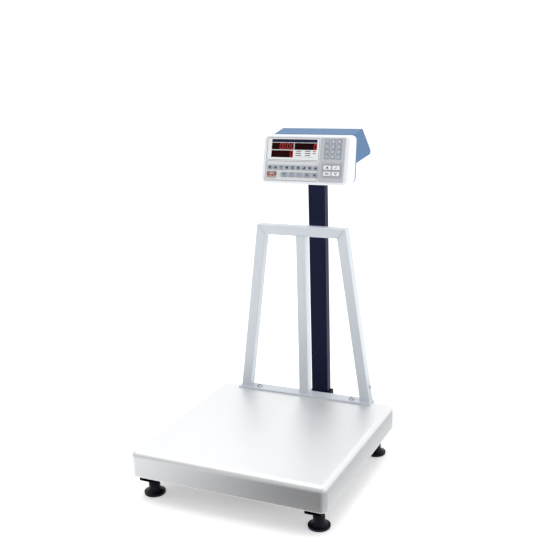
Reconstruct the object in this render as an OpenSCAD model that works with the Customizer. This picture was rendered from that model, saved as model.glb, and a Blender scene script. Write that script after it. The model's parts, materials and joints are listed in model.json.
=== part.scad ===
// Bench scale: platform on four feet, back guard, column and tilting indicator.
// +X is the user's right, the user stands on the -Y side, +Z is up, Z = 0 is the floor.
// The origin is the middle of the footprint of the whole scale.

/* [Platform] */
// Width of the weighing platform
pan_w = 500; // [450:10:600]
// Depth of the weighing platform
pan_d = 500; // [450:10:600]
// Height of the weighing surface above the floor
pan_top = 123; // [120:1:130]
// Height of the pan's skirt
skirt_h = 62; // [56:1:64]
// Sheet thickness of the pan
pan_t = 1.5; // [1:0.5:2]
// Radius of the pan's upper edges
pan_r = 14; // [6:1:14]
// Radius of the pan's corners in plan
pan_corner = 16; // [16:1:30]
// Width of the hem turned in at the foot of the skirt
hem_w = 8; // [4:1:8]

/* [Feet and base frame] */
// Distance of a foot from the scale's middle plane
foot_x = 215; // [205:1:222]
// Distance of a front foot behind the pan's front
foot_front = 48; // [40:1:60]
// Distance of a rear foot ahead of the pan's back
foot_rear = 52; // [40:1:60]
// Radius of a foot's base
foot_r = 26; // [20:1:28]
// Radius of a foot's neck
neck_r = 13.5; // [11:0.5:14]
// Diameter of a foot's threaded stud
stud_d = 12; // [10:1:14]
// Height of the base frame's underside above the floor
rail_z = 46; // [44:1:48]
// Width of the base frame's side tubes
rail_w = 40; // [30:1:44]
// Height of the base frame's tubes
rail_h = 30; // [25:1:30]
// Wall of the steel tubes
tube_t = 2; // [1.5:0.5:3]

/* [Load cell] */
// Length of the load cell
cell_l = 150; // [130:1:160]
// Width of the load cell
cell_w = 40; // [30:1:50]
// Height of the load cell
cell_h = 30; // [28:1:30]

/* [Guard] */
// Height of the guard's top above the floor
guard_top = 590; // [500:1:620]
// Side of the guard's square tube
guard_tube = 26; // [20:1:30]
// Outer half width of the guard at its foot
guard_foot_x = 188; // [150:1:200]
// Outer half width of the guard at its top
guard_top_x = 124.5; // [100:0.5:150]
// Half length of the guard's foot rail
rail_half = 192.5; // [190:0.5:210]
// Thickness of the foot rail's angle
angle_t = 4; // [3:0.5:5]

/* [Column] */
// Width of the column
col_w = 48; // [40:1:60]
// Depth of the column
col_d = 26; // [20:1:40]
// Distance of the column's front face behind the pan's front
col_front = 594; // [570:1:600]
// Height of the tilt axis above the floor
pivot_z = 727; // [650:1:800]
// Diameter of the tilt screw
screw_d = 8; // [6:1:10]

/* [Indicator] */
// Width of the indicator
head_w = 240; // [220:1:260]
// Height of its front face
face_h = 128; // [120:1:136]
// Lean of the front face from the vertical, in degrees
face_tilt = 15; // [5:1:25]
// Width of the rear housing
shell_w = 228; // [210:1:236]
// How far the rear housing reaches behind the tilt axis
shell_reach = 105; // [95:1:120]
// Wall of the plastic mouldings
wall = 3; // [2:0.5:3]
// Width of the keypad overlay
overlay_w = 220; // [210:1:226]
// Height of the keypad overlay
overlay_h = 114; // [108:1:118]

/* [Hidden] */
fine = 96;
soft = 32;
eps = 0.01;
gap = 0.3;

pivot_from_front = col_front + col_d / 2;
overall_d = pivot_from_front + shell_reach;
front_y = -overall_d / 2;
pan_y = front_y + pan_d / 2;
pivot_y = front_y + pivot_from_front;

skirt_z = pan_top - skirt_h;
rail_top = rail_z + rail_h;
rail_x = foot_x - rail_w / 2 - 1;
rail_end = 14;
beam_w = 30;
beam_front = 60;
beam_rear = 50;
plate_t = 8;
plate_half = 45;
spacer_l = 44;
bolt_d = 8;
bolt_fit = 0.1;
bolt_across = 13;
bolt_head_h = 5.5;
cell_bolt_inset = [12, 34];
cell_bolt_x = 10;
cell_bolt_depth = 18;
cell_hole_d = 22;
cell_hole_y = 14;
cell_slot = 8;
cell_z = rail_z + plate_t + 4;
cell_top = cell_z + cell_h;
spider_z = cell_top + 4;
spider_h = 25;
spider_w = 25;
spider_half = 225;
spider_reach = 190;
spider_rail_x = 72.5;
spider_plate_t = 6;
pad_x = 195;
pad_h = pan_top - pan_t - spider_z - spider_h - 0.05;
feet_at = [
    ["foot_front_left", [-foot_x, front_y + foot_front]],
    ["foot_front_right", [foot_x, front_y + foot_front]],
    ["foot_rear_left", [-foot_x, front_y + pan_d - foot_rear]],
    ["foot_rear_right", [foot_x, front_y + pan_d - foot_rear]]
];
nut_h = 8;
nut_across = 24;
neck_top = rail_z - nut_h - 2.5;
stud_top = 70;

bracket_t = 6;
bracket_half = 55;
bracket_bolt_x = 38;
cheek_t = 5;
cheek_half = 20;
cheek_h = 44;
cheek_bolts = [13, 31];
column_z = rail_z + 0.5;
column_top = pivot_z + 7;

guard_front = front_y + pan_d - 22;
angle_front = guard_front - 11;
guard_foot = pan_top + angle_t;
rail_seat = 0.4;
rail_drop = 32;
leg_slope = (guard_foot_x - guard_top_x) / (guard_top - guard_foot);
leg_w = guard_tube * sqrt(1 + leg_slope * leg_slope);
guard_under = guard_top - guard_tube;
guard_screw_x = 136;
guard_screw_y = front_y + pan_d - 15;
guard_screw_hole = 6.4;
side_screw_h = 37;

face_y = -90;
face_z = 33;
plate_r = 13;
back_top = [-24, 91];
back_foot = [-44, -31];
back_mid = (back_top + back_foot) / 2;
back_tilt = atan2(back_top[0] - back_foot[0], back_top[1] - back_foot[1]);
back_h = norm(back_top - back_foot);
shell_top = [35, 102];
shell_top_r = 10;
shell_rear_z = 35;
shell_rear_r = 8;
ear_gap = 0.6;
ear_t = 3;
saddle_z = 16;
saddle_x = 31;
knob_d = 32;
rim_depth = 7;
ear_r = 14;
inlet_at = [70, 62, 24];
under_slope = 5.5;
housing_screw_x = [60, 100];
face_plate = 4.5;
overlay_t = 1;
overlay_sink = 0.2;
pane_back = 3.3;
board_y = 16;
board_t = 1.6;
rocker_tilt = 8;

// Each key block is [name, columns, rows, first x, first z, column pitch, row pitch, key width, key height]
key_blocks = [
    ["function_key_", 9, 1, -96.6, -22, 16.2, 13, 14, 9.5],
    ["option_key_", 5, 1, -54.4, -40, 21.5, 13, 18.6, 10.5],
    ["number_key_", 3, 4, 60.4, 47.6, 16.1, -13, 12, 10],
    ["command_key_", 2, 2, 64.6, -19.2, 24, -15.8, 20.5, 11]
];
// The display windows are [x, z, width, height]
windows = [
    [-96.5, 43.9, 128.5, 8.6],
    [-96.5, 24.9, 63.5, 18],
    [-31.8, 24.9, 63.8, 18],
    [-96.5, 4.5, 62.5, 18.6]
];
// The opening behind the windows and the circuit board, also [x, z, width, height]
display_opening = [-99, 2, 134, 53];
display_lip = 2;
board = [-108, -52, 216, 104];

function grown(r, by) = [r[0] - by, r[1] - by, r[2] + 2 * by, r[3] + 2 * by];

function key_count(b) = b[1] * b[2];
function key_name(b, i) = str(b[0], i + 1);
function key_at(b, i) = [b[3] + (i % b[1]) * b[5], b[4] + floor(i / b[1]) * b[6]];

// ---------- shared shapes ----------

module box(from, to) {
    translate(from) cube(to - from);
}

// A rectangle with round corners, centred
module round_rect(w, h, r) {
    square([w - 2 * r, h], center = true);
    square([w, h - 2 * r], center = true);
    for (x = [-1, 1], y = [-1, 1])
        translate([x * (w / 2 - r), y * (h / 2 - r)]) circle(r);
}

// A round bar between two heights
module rod(d, z0, z1) {
    translate([0, 0, z0]) cylinder(d = d, h = z1 - z0, $fn = fine);
}

module hexagon(across, z0, z1) {
    translate([0, 0, z0]) cylinder(d = across / cos(30), h = z1 - z0, $fn = 6);
}

// A rectangular steel tube lying along an axis: 0 is X and 1 is Y
module tube_between(from, to, along) {
    inset = along == 0 ? [-eps, tube_t, tube_t] : [tube_t, -eps, tube_t];
    difference() {
        box(from, to);
        box(from + inset, to - inset);
    }
}

// A hexagon-head bolt, its head below and its shank upward
module bolt(length) {
    hexagon(bolt_across, -bolt_head_h, 0);
    rod(bolt_d - bolt_fit, 0, length);
}

// ---------- base ----------

module base_frame() {
    y0 = front_y + rail_end;
    y1 = front_y + pan_d - rail_end;
    f0 = front_y + beam_front;
    r1 = front_y + pan_d - beam_rear;
    color([0.08, 0.08, 0.1]) difference() {
        union() {
            for (side = [-1, 1])
                translate([side * (rail_x + rail_w / 2), 0, 0])
                    tube_between([-rail_w / 2, y0, rail_z], [rail_w / 2, y1, rail_top], 1);
            tube_between([-rail_x, f0, rail_z], [rail_x, f0 + beam_w, rail_top], 0);
            tube_between([-rail_x, r1 - beam_w, rail_z], [rail_x, r1, rail_top], 0);
            box([-plate_half, f0 + beam_w, rail_z], [plate_half, r1 - beam_w, rail_z + plate_t]);
            box([-cell_w / 2, pan_y - cell_l / 2, rail_z + plate_t],
                [cell_w / 2, pan_y - cell_l / 2 + spacer_l, cell_z]);
        }
        for (f = feet_at)
            translate(f[1]) rod(stud_d + 2 * bolt_fit, rail_z - 1, rail_z + tube_t + 1);
        cell_bolt_places(-1) rod(bolt_d + bolt_fit, rail_z - 1, cell_z + 1);
        bracket_bolt_places() rod(bolt_d + bolt_fit, rail_z - 1, rail_z + tube_t + 1);
    }
}

// The two bolt pairs at one end of the load cell: -1 is the fixed end, 1 the loaded end
module cell_bolt_places(end) {
    for (x = [-cell_bolt_x, cell_bolt_x], inset = cell_bolt_inset)
        translate([x, pan_y + end * (cell_l / 2 - inset), 0]) children();
}

module bracket_bolt_places() {
    for (x = [-bracket_bolt_x, bracket_bolt_x])
        translate([x, front_y + pan_d - beam_rear - beam_w / 2, 0]) children();
}

module foot() {
    color([0.05, 0.05, 0.07]) rotate_extrude($fn = fine)
        polygon([
            [0, 0], [foot_r - 3, 0], [foot_r, 2], [foot_r, 6], [foot_r - 2, 9], [foot_r - 8, 14],
            [neck_r + 1.2, 19], [neck_r, 24], [neck_r, neck_top], [stud_d / 2, neck_top],
            [stud_d / 2, stud_top - 1], [stud_d / 2 - 1, stud_top], [0, stud_top]
        ]);
}

module foot_lock_nuts() {
    color([0.05, 0.05, 0.07]) for (f = feet_at) translate(f[1]) difference() {
        hexagon(nut_across, rail_z - nut_h, rail_z);
        rod(stud_d + 2 * bolt_fit, rail_z - nut_h - 1, rail_z + 1);
    }
}

// ---------- load cell and inner platform frame ----------

module load_cell() {
    cell_middle = cell_z + cell_h / 2;
    color([0.78, 0.79, 0.8]) difference() {
        box([-cell_w / 2, pan_y - cell_l / 2, cell_z], [cell_w / 2, pan_y + cell_l / 2, cell_top]);
        for (y = [-cell_hole_y, cell_hole_y])
            translate([0, pan_y + y, cell_middle]) rotate([0, 90, 0])
                cylinder(d = cell_hole_d, h = cell_w + 2, center = true, $fn = fine);
        box([-cell_w / 2 - 1, pan_y - cell_hole_y, cell_middle - cell_slot / 2],
            [cell_w / 2 + 1, pan_y + cell_hole_y, cell_middle + cell_slot / 2]);
        cell_bolt_places(-1) rod(bolt_d + bolt_fit, cell_z - 1, cell_z + cell_bolt_depth);
        cell_bolt_places(1) rod(bolt_d + bolt_fit, cell_top - cell_bolt_depth, cell_top + 1);
    }
}

module load_cell_bolts() {
    color([0.6, 0.6, 0.62]) {
        cell_bolt_places(-1) translate([0, 0, rail_z]) bolt(27);
        cell_bolt_places(1) translate([0, 0, spider_z + spider_plate_t]) mirror([0, 0, 1]) bolt(26);
    }
}

module platform_frame() {
    y0 = pan_y - spider_reach;
    y1 = pan_y + spider_reach;
    top = spider_z + spider_h;
    color([0.2, 0.2, 0.22]) difference() {
        union() {
            tube_between([-spider_half, y0, spider_z], [spider_half, y0 + spider_w, top], 0);
            tube_between([-spider_half, y1 - spider_w, spider_z], [spider_half, y1, top], 0);
            for (side = [-1, 1]) translate([side * spider_rail_x, 0, 0])
                tube_between([-spider_w / 2, y0 + spider_w, spider_z], [spider_w / 2, y1 - spider_w, top], 1);
            box([spider_w / 2 - spider_rail_x, pan_y + 20, spider_z],
                [spider_rail_x - spider_w / 2, pan_y + 85, spider_z + spider_plate_t]);
            box([-cell_w / 2, pan_y + cell_l / 2 - spacer_l, cell_top],
                [cell_w / 2, pan_y + cell_l / 2, spider_z]);
        }
        cell_bolt_places(1) rod(bolt_d + bolt_fit, cell_top - 1, spider_z + spider_plate_t + 1);
    }
}

module platform_pads() {
    pad_y = spider_reach - spider_w / 2;
    color([0.1, 0.1, 0.1]) for (x = [-pad_x, 0, pad_x], y = [-pad_y, pad_y])
        translate([x, pan_y + y, spider_z + spider_h])
            linear_extrude(pad_h) round_rect(40, 20, 4, $fn = fine);
}

// ---------- pan and guard ----------

// The pan's block with its round upper edges and corners, shrunk by inset all round and at its top
module pan_block(inset, z0) {
    corner = pan_corner - inset;
    r = pan_r - inset;
    hull() for (x = [-1, 1], y = [-1, 1])
        translate([x * (pan_w / 2 - pan_corner), pan_y + y * (pan_d / 2 - pan_corner), 0]) {
            translate([0, 0, z0]) cylinder(r = corner, h = 1, $fn = soft);
            translate([0, 0, pan_top - inset - r])
                rotate_extrude($fn = soft) intersection() {
                    translate([corner - r, 0]) circle(r, $fn = soft);
                    square([corner, r]);
                }
        }
}

module platform_pan() {
    color([0.92, 0.93, 0.93]) {
        difference() {
            pan_block(0, skirt_z);
            pan_block(pan_t, skirt_z - 2);
            guard_screw_places() rod(guard_screw_hole, pan_top - 5, pan_top + 1);
            box([-rail_half - 1, angle_front - 1, pan_top - rail_seat],
                [rail_half + 1, front_y + pan_d + 1, pan_top + 1]);
        }
        difference() {
            translate([0, pan_y, skirt_z]) linear_extrude(pan_t)
                square([pan_w - 2 * pan_corner, pan_d - 2 * pan_t], center = true);
            translate([0, pan_y, skirt_z - 1]) linear_extrude(pan_t + 2)
                square([pan_w, pan_d - 2 * pan_t - 2 * hem_w], center = true);
        }
        difference() {
            translate([0, pan_y, skirt_z]) linear_extrude(pan_t)
                square([pan_w - 2 * pan_t, pan_d - 2 * pan_corner], center = true);
            translate([0, pan_y, skirt_z - 1]) linear_extrude(pan_t + 2)
                square([pan_w - 2 * pan_t - 2 * hem_w, pan_d], center = true);
        }
    }
}

module guard_screw_places() {
    for (x = [-guard_screw_x, guard_screw_x]) translate([x, guard_screw_y, 0]) children();
}

module guard_rail() {
    back = front_y + pan_d + gap + angle_t;
    color([0.76, 0.78, 0.82]) difference() {
        union() {
            box([-rail_half, angle_front, pan_top - rail_seat], [rail_half, back, guard_foot]);
            box([-rail_half, back - angle_t, pan_top - rail_drop], [rail_half, back, pan_top]);
        }
        guard_screw_places() rod(guard_screw_hole, pan_top - 1, guard_foot + 1);
    }
}

// A leg seen from the front, outer face outward, narrowed by t all round
module leg_outline(t) {
    side = t * leg_w / guard_tube;
    slope_x = function (z) guard_foot_x - leg_slope * (z - guard_foot);
    polygon([
        [slope_x(guard_foot) - side, guard_foot],
        [slope_x(guard_foot) - leg_w + side, guard_foot],
        [slope_x(guard_under) - leg_w + side, guard_under - t],
        [guard_top_x - side, guard_top - 3 * t]
    ]);
}

module guard_leg() {
    translate([0, guard_front + guard_tube, 0]) rotate([90, 0, 0]) difference() {
        linear_extrude(guard_tube) leg_outline(0);
        translate([0, 0, tube_t]) linear_extrude(guard_tube - 2 * tube_t) leg_outline(tube_t);
    }
}

module guard_left_leg() {
    color([0.77, 0.79, 0.83]) mirror([1, 0, 0]) guard_leg();
}

module guard_right_leg() {
    color([0.77, 0.79, 0.83]) difference() {
        guard_leg();
        side_screw_place() rod(4.2, -tube_t - 1, 1);
    }
}

// The small screw low on the right leg's outer face
module side_screw_place() {
    translate([guard_foot_x - leg_slope * side_screw_h, guard_front + 20, guard_foot + side_screw_h])
        rotate([0, 90 - atan(leg_slope), 0]) children();
}

module guard_top_bar() {
    inner = guard_foot_x - leg_slope * (guard_under - guard_foot) - leg_w;
    color([0.77, 0.79, 0.83]) translate([0, guard_front + guard_tube, 0]) rotate([90, 0, 0])
        difference() {
            linear_extrude(guard_tube) polygon([
                [-guard_top_x, guard_top], [guard_top_x, guard_top], [inner, guard_under], [-inner, guard_under]
            ]);
            translate([0, 0, tube_t]) linear_extrude(guard_tube - 2 * tube_t) polygon([
                [6 - guard_top_x, guard_top - tube_t], [guard_top_x - 6, guard_top - tube_t],
                [inner - 1, guard_under + tube_t], [1 - inner, guard_under + tube_t]
            ]);
        }
}

module guard_centre_bar() {
    half = guard_tube / 2;
    color([0.77, 0.79, 0.83]) difference() {
        box([-half, guard_front, guard_foot], [half, guard_front + guard_tube, guard_under]);
        box([tube_t - half, guard_front + tube_t, guard_foot - 1],
            [half - tube_t, guard_front + guard_tube - tube_t, guard_under - tube_t]);
    }
}

// A dome-head screw, its shank downward
module dome_screw(head_d, head_h, shank_d, length) {
    rotate_extrude($fn = fine) intersection() {
        translate([0, head_h - head_d * 0.7]) circle(head_d * 0.7, $fn = fine);
        square([head_d / 2, head_h]);
    }
    rod(shank_d, -length, eps);
}

module guard_screws() {
    color([0.5, 0.52, 0.55]) {
        guard_screw_places() translate([0, 0, guard_foot]) dome_screw(15, 5, 6, 11);
        side_screw_place() dome_screw(10, 3, 4, 1.9);
    }
}

// ---------- column ----------

module column_bracket() {
    plate_front = front_y + pan_d - beam_rear - beam_w;
    inner = col_w / 2 + gap;
    color([0.08, 0.08, 0.1]) difference() {
        union() {
            box([-bracket_half, plate_front, rail_z - bracket_t], [bracket_half, pivot_y + 30, rail_z]);
            for (side = [-1, 1]) {
                x0 = side < 0 ? -inner - cheek_t : inner;
                box([x0, pivot_y - cheek_half, rail_z], [x0 + cheek_t, pivot_y + cheek_half, rail_z + cheek_h]);
            }
            box([-inner, pivot_y + col_d / 2 + gap, rail_z],
                [inner, pivot_y + col_d / 2 + gap + cheek_t, rail_z + cheek_h]);
        }
        bracket_bolt_places() rod(bolt_d + bolt_fit, rail_z - bracket_t - 1, rail_z + 1);
        cheek_bolt_places() rod(bolt_d + bolt_fit, -col_w, col_w);
    }
}

// The cross bolts that hold the column, their axes along X
module cheek_bolt_places() {
    for (h = cheek_bolts) translate([0, pivot_y, rail_z + h]) rotate([0, 90, 0]) children();
}

module column() {
    color([0.14, 0.15, 0.24]) difference() {
        translate([0, pivot_y, column_z]) linear_extrude(column_top - column_z)
            difference() {
                round_rect(col_w, col_d, 2, $fn = fine);
                square([col_w - 2 * tube_t, col_d - 2 * tube_t], center = true);
            }
        cheek_bolt_places() rod(bolt_d + bolt_fit, -col_w, col_w);
        translate([0, pivot_y, pivot_z]) rotate([0, 90, 0]) rod(screw_d + 2 * bolt_fit, -col_w, col_w);
    }
}

module column_bolts() {
    outer = col_w / 2 + gap + cheek_t;
    color([0.55, 0.56, 0.58]) {
        bracket_bolt_places() translate([0, 0, rail_z - bracket_t]) bolt(bracket_t + 8);
        cheek_bolt_places() translate([0, 0, -outer]) {
            bolt(2 * outer + 8);
            difference() {
                hexagon(bolt_across, 2 * outer, 2 * outer + 6.5);
                rod(bolt_d - bolt_fit, 2 * outer - 1, 2 * outer + 7);
            }
        }
    }
}

// ---------- indicator ----------

// The indicator's own frame: its origin is the tilt axis
module head_frame() {
    translate([0, pivot_y, pivot_z]) children();
}

// The front face's frame: +Z runs up the face and +Y into the indicator
module face_frame() {
    head_frame() translate([0, face_y, face_z]) rotate([-face_tilt, 0, 0]) children();
}

// A thin upright plate with round corners, facing the user
module upright_plate(w, h, r, t, y) {
    translate([0, y + t, 0]) rotate([90, 0, 0]) linear_extrude(t) round_rect(w, h, r, $fn = soft);
}

// A prism along Y between two depths, from a rectangle [x, z, width, height]
module pocket(r, y0, y1) {
    box([r[0], y0, r[1]], [r[0] + r[2], y1, r[1] + r[3]]);
}

// A plate in the plane where the bezel meets the rear housing
module back_plate(w, h, r, t, y) {
    head_frame() translate([0, back_mid[0], back_mid[1]]) rotate([-back_tilt, 0, 0])
        upright_plate(w, h, r, t, y);
}

// Every key's place on the face
module key_places(b) {
    for (i = [0 : key_count(b) - 1])
        translate([key_at(b, i)[0], 0, key_at(b, i)[1]]) children();
}

module key_prism(w, h, r, y0, y1) {
    translate([0, y1, 0]) rotate([90, 0, 0]) linear_extrude(y1 - y0) round_rect(w, h, r, $fn = fine);
}

module front_bezel() {
    color([0.95, 0.95, 0.96]) difference() {
        hull() {
            face_frame() upright_plate(head_w - 10, face_h - 10, 9, 0.1, 0);
            face_frame() upright_plate(head_w - 3, face_h - 3, 12, 0.1, 2);
            face_frame() upright_plate(head_w, face_h, plate_r, 0.1, 6);
            back_plate(head_w, back_h, plate_r, 0.1, -0.1);
        }
        hull() {
            face_frame() upright_plate(head_w - 2 * wall, face_h - 2 * wall, plate_r - wall, 0.1, face_plate);
            back_plate(head_w - 2 * wall, back_h - 2 * wall, plate_r - wall, 0.1, 1);
        }
        face_frame() {
            pocket([-overlay_w / 2 - gap, -overlay_h / 2 - gap, overlay_w + 2 * gap, overlay_h + 2 * gap],
                -1, overlay_sink + overlay_t);
            pocket(display_opening, 0, pane_back);
            pocket(grown(display_opening, -display_lip), 0, face_plate + 1);
            for (b = key_blocks) key_places(b)
                key_prism(b[7] + 2, b[8] + 2, 1, 0, overlay_sink + overlay_t + 2);
        }
    }
}

module keypad_overlay() {
    color([0.86, 0.87, 0.88]) face_frame() difference() {
        key_prism(overlay_w, overlay_h, 3, overlay_sink, overlay_sink + overlay_t);
        for (w = windows) pocket(w, 0, 2);
        for (b = key_blocks) key_places(b)
            key_prism(b[7] + 2 * gap, b[8] + 2 * gap, 2, 0, 2);
    }
}

module display_filter() {
    color([0.2, 0.03, 0.05]) face_frame()
        pocket(grown(display_opening, -gap), overlay_sink + overlay_t, pane_back);
}

// One key: a cap through the overlay and a wider foot that holds it in
module keypad_key(b, i) {
    cap_front = overlay_sink - 1;
    foot_front = overlay_sink + overlay_t + gap;
    tint = b[0] == "command_key_" ? 0.93 : 0.7;
    color([tint, tint, tint + 0.03]) face_frame() translate([key_at(b, i)[0], 0, key_at(b, i)[1]]) {
        key_prism(b[7], b[8], 1.7, cap_front, foot_front + eps);
        key_prism(b[7] + 1.4, b[8] + 1.4, 0.7, foot_front, foot_front + 0.9);
    }
}

module circuit_board() {
    color([0.1, 0.35, 0.2]) face_frame() {
        difference() {
            pocket(board, board_y, board_y + board_t);
            for (x = [-102, 102], z = [-46, 46])
                translate([x, 0, z]) key_prism(4, 4, 1.9, board_y - 1, board_y + 3);
        }
        for (w = [for (i = [1 : 3]) windows[i]])
            pocket([w[0] + 1, w[1], w[2] - 2, w[3]], face_plate, board_y);
        pocket([40, -30, 28, 28], board_y + board_t, board_y + 4);
        pocket([-80, -40, 40, 30], board_y + board_t, board_y + 20);
    }
}

// The rear housing in side view: a flat back below and a wedge above
module shell_outline(t) {
    hull() {
        translate([shell_top[0], shell_top[1] - shell_top_r]) circle(shell_top_r - t, $fn = soft);
        translate([shell_reach - shell_rear_r, shell_rear_z]) circle(shell_rear_r - t, $fn = soft);
        translate([back_top[0] - 2, back_top[1] - t]) circle(0.5, $fn = soft);
        translate([-37, 15 + t]) circle(0.5, $fn = soft);
    }
}

// Turns a side view [y, z] into a body of the given width across X
module across(width) {
    head_frame() rotate([90, 0, 90]) translate([0, 0, -width / 2]) linear_extrude(width) children();
}

module rear_housing() {
    color([0.36, 0.51, 0.67]) difference() {
        union() {
            back_plate(head_w, back_h, plate_r, rim_depth, gap / 2);
            difference() {
                across(shell_w) shell_outline(0);
                back_plate(2 * head_w, 2 * back_h, 1, 80, -80 + gap / 2);
            }
            head_frame() box([-saddle_x, -17, saddle_z], [saddle_x, 17, saddle_z + 7]);
        }
        back_plate(head_w - 2 * wall, back_h - 2 * wall, plate_r - wall, rim_depth - wall + 1, gap / 2 - 1);
        difference() {
            across(shell_w - 2 * wall) shell_outline(wall);
            head_frame() box([-saddle_x, -18, saddle_z - 1], [saddle_x, 18, saddle_z + 8]);
        }
        socket_place() rod(11.2, -20, 20);
        switch_place() box([-6.5, -10, -20], [6.5, 10, 20]);
        housing_screw_places() rod(4.4, -rim_depth - 1, 6);
    }
}

// The underside of the wedge, where the connections are: +Z points down and out
module socket_place() {
    head_frame() translate(inlet_at) rotate([180 - under_slope, 0, 0]) children();
}

module switch_place() {
    mirror([1, 0, 0]) socket_place() mirror([1, 0, 0]) children();
}

// The screws at the foot of the flat back, their heads backward
module housing_screw_places() {
    for (side = [-1, 1], x = housing_screw_x)
        head_frame() translate([side * x, back_mid[0], back_mid[1]]) rotate([-back_tilt, 0, 0])
            translate([0, rim_depth + gap / 2, 10 - back_h / 2]) rotate([-90, 0, 0]) children();
}

module housing_screws() {
    color([0.4, 0.4, 0.42]) housing_screw_places() dome_screw(8, 2.5, 4, 14);
}

module power_socket() {
    color([0.1, 0.1, 0.1]) socket_place() difference() {
        union() {
            rod(16, 3, 5);
            rod(11, -12, 3 + eps);
        }
        rod(6.5, -9, 6);
    }
}

module power_switch() {
    color([0.1, 0.1, 0.1]) switch_place() rotate([rocker_tilt, 0, 0]) rotate([0, 90, 0]) {
        linear_extrude(12, center = true)
            polygon([[6, -8.4], [-4.2, -9], [-2.2, 0], [-4.2, 9], [6, 8.4]]);
        rod(3, -6.4, 6.4);
    }
}

module head_bracket() {
    inner = col_w / 2 + ear_gap;
    color([0.1, 0.1, 0.12]) head_frame() difference() {
        union() {
            box([-inner - ear_t, -ear_r - 2, saddle_z - ear_t], [inner + ear_t, ear_r + 2, saddle_z]);
            for (side = [-1, 1]) {
                x0 = side < 0 ? -inner - ear_t : inner;
                box([x0, -ear_r, 0], [x0 + ear_t, ear_r, saddle_z - ear_t]);
                translate([x0, 0, 0]) rotate([0, 90, 0]) cylinder(r = ear_r, h = ear_t, $fn = fine);
            }
            translate([-inner - ear_t, 0, 0]) rotate([0, -90, 0]) hexagon(15, 0, 7);
        }
        rotate([0, 90, 0]) rod(screw_d + 2 * bolt_fit, -col_w, col_w);
    }
}

// A five-lobed hand knob on its screw, which passes through the bracket and the column
module tilt_knob() {
    x0 = col_w / 2 + ear_gap + ear_t + gap;
    color([0.06, 0.06, 0.07]) head_frame() rotate([0, 90, 0]) {
        rod(screw_d, -col_w / 2 - ear_gap - ear_t - 6, x0 + 1);
        rod(18, x0, x0 + 7);
        difference() {
            rod(knob_d, x0 + 6, x0 + 19);
            for (a = [0 : 72 : 288])
                rotate([0, 0, a + 36]) translate([knob_d * 0.6, 0, 0]) rod(12, x0 + 5, x0 + 20);
        }
    }
}

// ---------- output ----------

base_frame();
foot_lock_nuts();
load_cell();
load_cell_bolts();
platform_frame();
platform_pads();
for (f = feet_at) translate(f[1]) foot();
platform_pan();
guard_rail();
guard_left_leg();
guard_right_leg();
guard_centre_bar();
guard_top_bar();
guard_screws();
column_bracket();
column();
column_bolts();
head_bracket();
tilt_knob();
front_bezel();
rear_housing();
keypad_overlay();
display_filter();
circuit_board();
housing_screws();
power_socket();
power_switch();
for (b = key_blocks) for (i = [0 : key_count(b) - 1])
    keypad_key(b, i);
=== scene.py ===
"""Looks of a bench scale: a steel platform on four feet, a back guard, a column and a tilting indicator.

Laid out as a Blender add-on and run as a script. Everything is in metres, in the CAD model's frame:
+X is the user's right, the user stands on the -Y side and +Z is up.
"""

import json
import math

import bmesh
import bpy
import numpy as np
from bpy.props import FloatProperty, FloatVectorProperty, IntProperty, PointerProperty
from mathutils import Matrix, Vector


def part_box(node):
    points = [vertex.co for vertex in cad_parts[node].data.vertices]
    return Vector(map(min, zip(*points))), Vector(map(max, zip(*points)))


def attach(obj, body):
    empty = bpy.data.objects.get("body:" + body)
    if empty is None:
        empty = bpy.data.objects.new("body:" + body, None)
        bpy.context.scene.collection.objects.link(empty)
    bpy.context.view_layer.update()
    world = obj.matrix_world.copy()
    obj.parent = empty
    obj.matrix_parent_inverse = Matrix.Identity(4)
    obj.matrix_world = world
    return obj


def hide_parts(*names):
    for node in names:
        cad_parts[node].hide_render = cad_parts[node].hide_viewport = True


bl_info = {
    "name": "Bench Scale Looks",
    "version": (1, 0, 0),
    "blender": (4, 5, 0),
    "location": "3D View > Sidebar > Bench Scale",
    "description": "Finishes, printed panels, smooth mouldings and welds of a bench scale",
    "category": "Object",
}

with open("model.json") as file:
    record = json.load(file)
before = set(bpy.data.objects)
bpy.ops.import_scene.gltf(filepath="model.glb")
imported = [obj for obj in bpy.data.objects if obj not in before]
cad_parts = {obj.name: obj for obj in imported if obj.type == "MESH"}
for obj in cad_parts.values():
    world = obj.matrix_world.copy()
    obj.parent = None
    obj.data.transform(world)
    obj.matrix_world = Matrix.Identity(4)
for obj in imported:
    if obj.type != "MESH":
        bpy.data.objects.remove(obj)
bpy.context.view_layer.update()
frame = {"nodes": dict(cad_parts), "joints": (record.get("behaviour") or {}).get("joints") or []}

WHITE = (1.0, 1.0, 1.0)


# ---------- shader maths ----------


class Value:
    """A shader socket on which Python's operators add Math nodes."""

    def __init__(self, finish, socket):
        self.finish = finish
        self.socket = socket

    def __add__(self, other):
        return self.finish.maths("ADD", self, other)

    def __radd__(self, other):
        return self.finish.maths("ADD", other, self)

    def __sub__(self, other):
        return self.finish.maths("SUBTRACT", self, other)

    def __rsub__(self, other):
        return self.finish.maths("SUBTRACT", other, self)

    def __mul__(self, other):
        return self.finish.maths("MULTIPLY", self, other)

    def __rmul__(self, other):
        return self.finish.maths("MULTIPLY", other, self)

    def __truediv__(self, other):
        return self.finish.maths("DIVIDE", self, other)

    def __gt__(self, other):
        return self.finish.maths("GREATER_THAN", self, other)


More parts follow.
